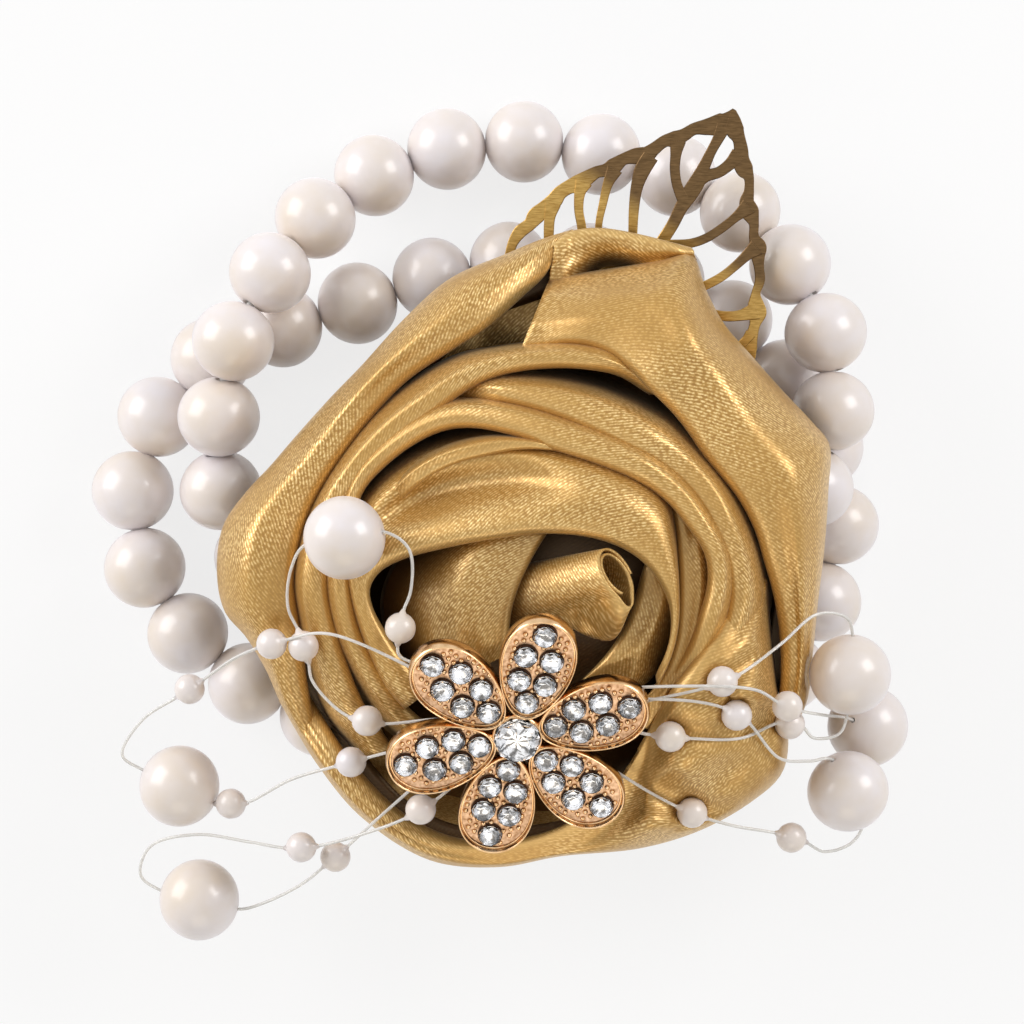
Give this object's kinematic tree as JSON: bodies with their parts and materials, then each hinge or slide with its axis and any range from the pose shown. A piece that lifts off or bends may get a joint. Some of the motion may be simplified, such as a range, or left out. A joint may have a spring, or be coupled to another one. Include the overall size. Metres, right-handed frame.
{
  "type": "wrist corsage",
  "caption": "Wrist corsage: a rolled satin rose with a brass leaf, a stone-set flower and pearl sprays, on elastic pearl strands that go round the wrist.",
  "frame": {"origin": "middle of the felt's back face, which lies on the table", "axes": "+Z out of the flower's face, +Y from the flower towards the far side of the strands, +X to the flower's right as seen from the front"},
  "size_m": [0.0787, 0.0807, 0.0369],
  "materials": {
    "pearl": "pearl lacquer, soft lustre",
    "satin": "gold satin ribbon, fine diagonal twill, silky sheen",
    "leaf_brass": "thin stamped sheet, brushed",
    "rose_gold": "polished rose gold plating, with small clear stones set in it",
    "stone": "clear faceted stone",
    "nylon": "clear nylon line with small pearl beads",
    "elastic": "clear elastic cord",
    "hot_melt": "milky hot-melt glue",
    "felt": "cream felt"
  },
  "bodies": {
    "flower": {"felt_backing": "felt", "glue_pad": "hot_melt", "satin_rose": "satin", "brass_leaf": "leaf_brass", "flower_setting": "rose_gold", "centre_stone": "stone", "flower_glue": "hot_melt"},
    "lower_strand": {"lower_elastic": "elastic", "lower_pearl_01": "pearl", "lower_pearl_02": "pearl", "lower_pearl_03": "pearl", "lower_pearl_18": "pearl", "lower_pearl_19": "pearl", "lower_pearl_20": "pearl"},
    "lower_strand_far": {"lower_pearl_04": "pearl", "lower_pearl_05": "pearl", "lower_pearl_06": "pearl", "lower_pearl_07": "pearl", "lower_pearl_08": "pearl", "lower_pearl_09": "pearl", "lower_pearl_10": "pearl", "lower_pearl_11": "pearl", "lower_pearl_12": "pearl", "lower_pearl_13": "pearl", "lower_pearl_14": "pearl", "lower_pearl_15": "pearl", "lower_pearl_16": "pearl", "lower_pearl_17": "pearl"},
    "upper_strand": {"upper_elastic": "elastic", "upper_pearl_01": "pearl", "upper_pearl_02": "pearl", "upper_pearl_18": "pearl", "upper_pearl_19": "pearl"},
    "upper_strand_far": {"upper_pearl_03": "pearl", "upper_pearl_04": "pearl", "upper_pearl_05": "pearl", "upper_pearl_06": "pearl", "upper_pearl_07": "pearl", "upper_pearl_08": "pearl", "upper_pearl_09": "pearl", "upper_pearl_10": "pearl", "upper_pearl_11": "pearl", "upper_pearl_12": "pearl", "upper_pearl_13": "pearl", "upper_pearl_14": "pearl", "upper_pearl_15": "pearl", "upper_pearl_16": "pearl", "upper_pearl_17": "pearl"},
    "left_spray": {"left_spray_1_line": "nylon", "left_spray_1_pearl": "pearl", "left_spray_2_line": "nylon", "left_spray_2_pearl": "pearl", "left_spray_3_line": "nylon", "left_spray_3_pearl": "pearl"},
    "right_spray": {"right_spray_1_line": "nylon", "right_spray_1_pearl": "pearl", "right_spray_2_line": "nylon", "right_spray_2_pearl": "pearl", "right_spray_3_line": "nylon", "right_spray_3_pearl": "pearl"}
  },
  "joints": [
    {"name": "lower_strand_swing", "type": "hinge", "parent": "flower", "child": "lower_strand", "pos_m": [0, -0.0058, 0.0039], "axis": [1, 0, 0], "range_deg": [-90, 0]},
    {"name": "upper_strand_swing", "type": "hinge", "parent": "flower", "child": "upper_strand", "pos_m": [0, 0.0058, 0.0039], "axis": [1, 0, 0], "range_deg": [-90, 0]},
    {"name": "lower_strand_stretch", "type": "slide", "parent": "lower_strand", "child": "lower_strand_far", "axis": [0, 1, 0], "range_m": [0, 0.01], "stiffness_N_per_m": 60, "deforming": ["lower_elastic"]},
    {"name": "upper_strand_stretch", "type": "slide", "parent": "upper_strand", "child": "upper_strand_far", "axis": [0, 1, 0], "range_m": [0, 0.01], "stiffness_N_per_m": 60, "deforming": ["upper_elastic"]},
    {"name": "left_spray_lift", "type": "hinge", "parent": "flower", "child": "left_spray", "pos_m": [-0.0103, -0.00579, 0.02822], "axis": [0, 0.891, 0.454], "range_deg": [0, 8], "stiffness_Nm_per_rad": 0.005},
    {"name": "right_spray_lift", "type": "hinge", "parent": "flower", "child": "right_spray", "pos_m": [0.0097, -0.00579, 0.02822], "axis": [0, -0.891, -0.454], "range_deg": [0, 8], "stiffness_Nm_per_rad": 0.005}
  ],
  "couplings": [
    {"joint": "upper_strand_swing", "follows": "lower_strand_swing", "ratio": 1},
    {"joint": "upper_strand_stretch", "follows": "lower_strand_stretch", "ratio": 1}
  ]
}
